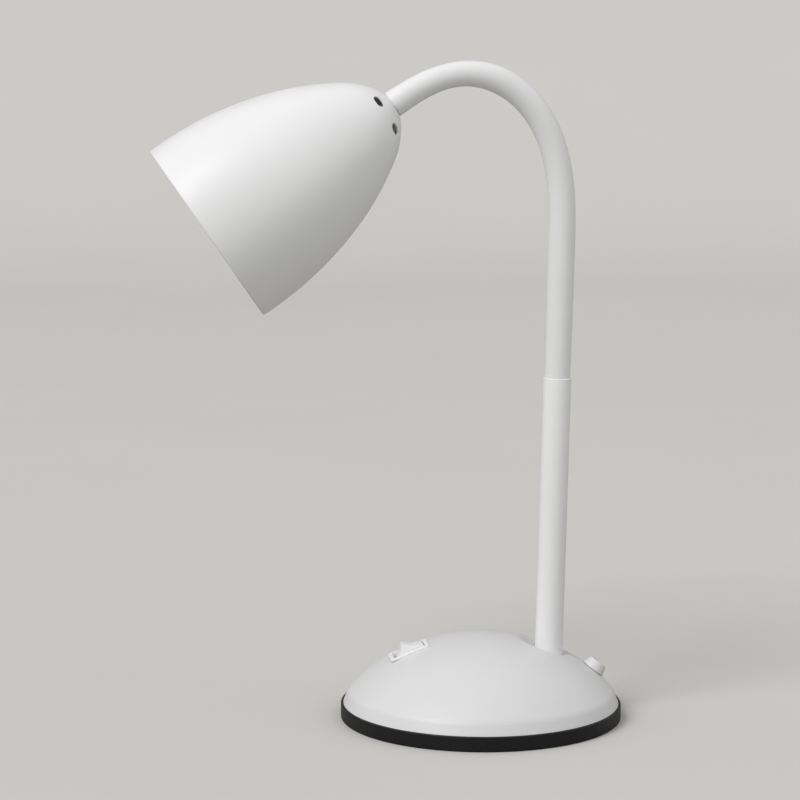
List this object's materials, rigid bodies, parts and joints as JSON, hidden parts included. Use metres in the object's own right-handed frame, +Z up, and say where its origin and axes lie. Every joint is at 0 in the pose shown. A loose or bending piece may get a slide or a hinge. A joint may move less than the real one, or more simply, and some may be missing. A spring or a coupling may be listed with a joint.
{
  "type": "gooseneck desk lamp",
  "caption": "White gooseneck desk lamp with a round domed base on a black ring, a rocker switch and a bell shade.",
  "frame": {"origin": "middle of the base's resting face, on the table", "axes": "+Z up, -X the way the shade reaches out, +Y the far side of the lamp as pictured"},
  "size_m": [0.2496, 0.1508, 0.3509],
  "materials": {
    "white_plastic": "satin",
    "black_plastic": "fine texture",
    "terminal_plastic": "natural",
    "foam": "closed-cell foam",
    "ballast_iron": "as cast",
    "zinc_steel": "zinc plated",
    "white_steel": "satin",
    "brass_parts": "bright",
    "nickel_brass": "nickel plated",
    "insert_plastic": "moulded",
    "opal_glass": "opal",
    "lead_pvc": "matt"
  },
  "bodies": {
    "base": {"ballast_disc": "ballast_iron", "ballast_screws": "zinc_steel", "base_cover": "white_plastic", "base_pad": "foam", "base_tray": "black_plastic", "clamp_screws": "zinc_steel", "cord_clamp": "black_plastic", "cord_gland": "white_plastic", "cover_screws": "zinc_steel", "lead_sheath": "lead_pvc", "live_lead": "lead_pvc", "neck_lower_ferrule": "white_steel", "neutral_lead": "lead_pvc", "stem_nut": "zinc_steel", "stem_plug": "zinc_steel", "stem_tube": "white_steel", "stem_washer": "zinc_steel", "supply_lead": "lead_pvc", "switch_housing": "white_plastic", "switch_terminals": "brass_parts", "terminal_block": "terminal_plastic", "terminal_screws": "brass_parts"},
    "rocker": {"rocker": "white_plastic", "switch_plunger": "terminal_plastic", "switch_spring": "zinc_steel"},
    "switch_contact": {"switch_contact_arm": "brass_parts"},
    "link_01": {"neck_link_01": "white_steel"},
    "link_02": {"neck_link_02": "white_steel"},
    "link_03": {"neck_link_03": "white_steel"},
    "link_04": {"neck_link_04": "white_steel"},
    "link_05": {"neck_link_05": "white_steel"},
    "link_06": {"neck_link_06": "white_steel"},
    "link_07": {"neck_link_07": "white_steel"},
    "link_08": {"neck_link_08": "white_steel"},
    "link_09": {"neck_link_09": "white_steel"},
    "link_10": {"neck_link_10": "white_steel"},
    "link_11": {"neck_link_11": "white_steel"},
    "link_12": {"neck_link_12": "white_steel"},
    "link_13": {"neck_link_13": "white_steel"},
    "link_14": {"neck_link_14": "white_steel"},
    "link_15": {"neck_link_15": "white_steel"},
    "head": {"neck_upper_ferrule": "white_steel", "shade": "white_steel", "shade_washer": "zinc_steel", "shade_nut": "zinc_steel", "lampholder_cap": "white_plastic", "lampholder_shell": "white_plastic", "lampholder_insert": "insert_plastic", "centre_contact": "brass_parts", "screw_shell": "nickel_brass", "contact_screws": "brass_parts", "lamp_cap": "nickel_brass", "lamp_collar": "white_plastic", "lamp_globe": "opal_glass", "holder_leads": "lead_pvc"}
  },
  "joints": [
    {"name": "neck_lower_bend", "type": "hinge", "parent": "base", "child": "link_01", "pos_m": [0.04083, 0, 0.1953], "axis": [0, 1, 0], "range_deg": [-10, 10], "deforming": ["lead_sheath"]},
    {"name": "neck_lower_sway", "type": "hinge", "parent": "link_01", "child": "link_02", "pos_m": [0.04115, 0, 0.20916], "axis": [-0.9997, 0, 0.0236], "range_deg": [-14, 14], "deforming": ["lead_sheath"]},
    {"name": "neck_bend_03", "type": "hinge", "parent": "link_02", "child": "link_03", "pos_m": [0.04148, 0, 0.22302], "axis": [0, 1, 0], "range_deg": [-10, 10], "deforming": ["lead_sheath"]},
    {"name": "neck_bend_04", "type": "hinge", "parent": "link_03", "child": "link_04", "pos_m": [0.04181, 0, 0.23689], "axis": [0, 1, 0], "range_deg": [-10, 10], "deforming": ["lead_sheath"]},
    {"name": "neck_sway_05", "type": "hinge", "parent": "link_04", "child": "link_05", "pos_m": [0.04213, 0, 0.25075], "axis": [-0.9997, 0, 0.0236], "range_deg": [-14, 14], "deforming": ["lead_sheath"]},
    {"name": "neck_bend_06", "type": "hinge", "parent": "link_05", "child": "link_06", "pos_m": [0.04235, 0, 0.26461], "axis": [0, 1, 0], "range_deg": [-10, 10], "deforming": ["lead_sheath"]},
    {"name": "neck_bend_07", "type": "hinge", "parent": "link_06", "child": "link_07", "pos_m": [0.04202, 0, 0.27847], "axis": [0, 1, 0], "range_deg": [-10, 10], "deforming": ["lead_sheath"]},
    {"name": "neck_sway_08", "type": "hinge", "parent": "link_07", "child": "link_08", "pos_m": [0.04053, 0, 0.29225], "axis": [-0.9871, 0, -0.1602], "range_deg": [-13.7, 13.7], "deforming": ["lead_sheath"]},
    {"name": "neck_bend_09", "type": "hinge", "parent": "link_08", "child": "link_09", "pos_m": [0.03728, 0, 0.30572], "axis": [0, 1, 0], "range_deg": [-0.81, 13.68], "deforming": ["lead_sheath"]},
    {"name": "neck_bend_10", "type": "hinge", "parent": "link_09", "child": "link_10", "pos_m": [0.03174, 0, 0.31841], "axis": [0, 1, 0], "range_deg": [-0.71, 11.94], "deforming": ["lead_sheath"]},
    {"name": "neck_bend_11", "type": "hinge", "parent": "link_10", "child": "link_11", "pos_m": [0.02357, 0, 0.32957], "axis": [0, 1, 0], "range_deg": [-0.85, 14.39], "deforming": ["lead_sheath"]},
    {"name": "neck_bend_12", "type": "hinge", "parent": "link_11", "child": "link_12", "pos_m": [0.01276, 0, 0.33818], "axis": [0, 1, 0], "range_deg": [-0.98, 16.73], "deforming": ["lead_sheath"]},
    {"name": "neck_upper_bend", "type": "hinge", "parent": "link_12", "child": "link_13", "pos_m": [-0.00014, 0, 0.34309], "axis": [0, 1, 0], "range_deg": [-1, 18], "deforming": ["lead_sheath"]},
    {"name": "neck_bend_14", "type": "hinge", "parent": "link_13", "child": "link_14", "pos_m": [-0.01393, 0, 0.34352], "axis": [0, 1, 0], "range_deg": [-0.97, 16.53], "deforming": ["lead_sheath"]},
    {"name": "neck_bend_15", "type": "hinge", "parent": "link_14", "child": "link_15", "pos_m": [-0.02723, 0, 0.33976], "axis": [0, 1, 0], "range_deg": [-0.88, 15.07], "deforming": ["lead_sheath"]},
    {"name": "neck_upper_sway", "type": "hinge", "parent": "link_15", "child": "head", "pos_m": [-0.03947, 0, 0.33327], "axis": [0.5345, 0, -0.8452], "range_deg": [-17, 17], "deforming": ["lead_sheath"]},
    {"name": "rocker_tilt", "type": "hinge", "parent": "base", "child": "rocker", "pos_m": [-0.03723, 0, 0.03195], "axis": [0, 1, 0], "range_deg": [-40.6, 0]},
    {"name": "contact_tilt", "type": "hinge", "parent": "base", "child": "switch_contact", "pos_m": [-0.0355, 0, 0.02747], "axis": [0, 1, 0], "range_deg": [-0.05, 16.05]}
  ],
  "couplings": [
    {"joint": "neck_bend_03", "follows": "neck_lower_bend", "ratio": 1},
    {"joint": "neck_bend_04", "follows": "neck_lower_bend", "ratio": 1},
    {"joint": "neck_sway_05", "follows": "neck_lower_sway", "ratio": 1},
    {"joint": "neck_bend_06", "follows": "neck_lower_bend", "ratio": 1},
    {"joint": "neck_bend_07", "follows": "neck_lower_bend", "ratio": 1},
    {"joint": "neck_sway_08", "follows": "neck_upper_sway", "ratio": 0.8},
    {"joint": "neck_bend_09", "follows": "neck_upper_bend", "ratio": 0.757},
    {"joint": "neck_bend_10", "follows": "neck_upper_bend", "ratio": 0.6604},
    {"joint": "neck_bend_11", "follows": "neck_upper_bend", "ratio": 0.7965},
    {"joint": "neck_bend_12", "follows": "neck_upper_bend", "ratio": 0.9266},
    {"joint": "neck_bend_14", "follows": "neck_upper_bend", "ratio": 0.9155},
    {"joint": "neck_bend_15", "follows": "neck_upper_bend", "ratio": 0.8343},
    {"joint": "contact_tilt", "follows": "rocker_tilt", "ratio": -0.39409}
  ]
}
